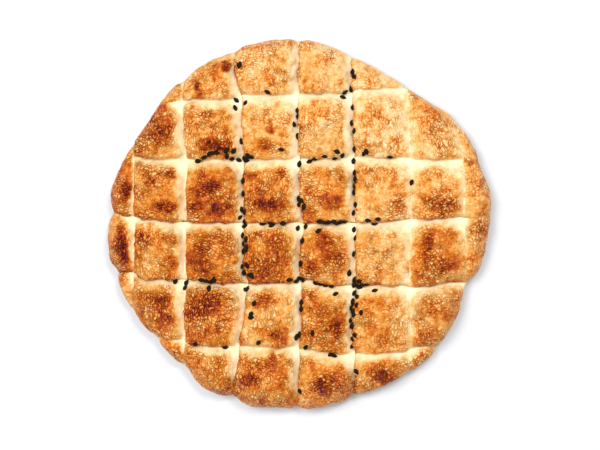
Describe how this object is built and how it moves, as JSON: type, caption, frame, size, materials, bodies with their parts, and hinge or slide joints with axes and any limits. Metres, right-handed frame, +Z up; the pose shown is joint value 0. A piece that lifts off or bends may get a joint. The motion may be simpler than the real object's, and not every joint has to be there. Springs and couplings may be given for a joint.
{
  "type": "flatbread loaf",
  "caption": "Round leavened flatbread, finger-pressed into a grid of browned pillows, with black nigella seeds scattered along the creases.",
  "frame": {"origin": "centre of the loaf's outline, on the flat underside it rests on", "axes": "+Z up out of the browned top; +Y away from the side with the deepest notches, along the longer creases; +X to the right of it, towards the shallow creases"},
  "size_m": [0.1923, 0.1857, 0.0207],
  "materials": {
    "crust": "baked crust: pale cream in the creases, golden to dark brown on the pillows, satin where it is brown",
    "seed": "black-brown seed coat, slightly wrinkled and satin"
  },
  "bodies": {
    "root": {"loaf": "crust", "seed_01": "seed", "seed_02": "seed", "seed_03": "seed", "seed_04": "seed", "seed_05": "seed", "seed_06": "seed", "seed_07": "seed", "seed_08": "seed", "seed_09": "seed", "seed_10": "seed", "seed_11": "seed", "seed_12": "seed", "seed_13": "seed", "seed_14": "seed", "seed_15": "seed", "seed_16": "seed", "seed_17": "seed", "seed_18": "seed", "seed_19": "seed", "seed_20": "seed", "seed_21": "seed", "seed_22": "seed", "seed_23": "seed", "seed_24": "seed", "seed_25": "seed", "seed_26": "seed", "seed_27": "seed", "seed_28": "seed", "seed_29": "seed", "seed_30": "seed", "seed_31": "seed", "seed_32": "seed", "seed_33": "seed", "seed_34": "seed", "seed_35": "seed", "seed_36": "seed", "seed_37": "seed", "seed_38": "seed", "seed_39": "seed", "seed_40": "seed", "seed_41": "seed", "seed_42": "seed", "seed_43": "seed", "seed_44": "seed", "seed_45": "seed", "seed_46": "seed", "seed_47": "seed", "seed_48": "seed", "seed_49": "seed", "seed_50": "seed", "seed_51": "seed", "seed_52": "seed", "seed_53": "seed", "seed_54": "seed", "seed_55": "seed", "seed_56": "seed", "seed_57": "seed", "seed_58": "seed", "seed_59": "seed"}
  },
  "joints": []
}
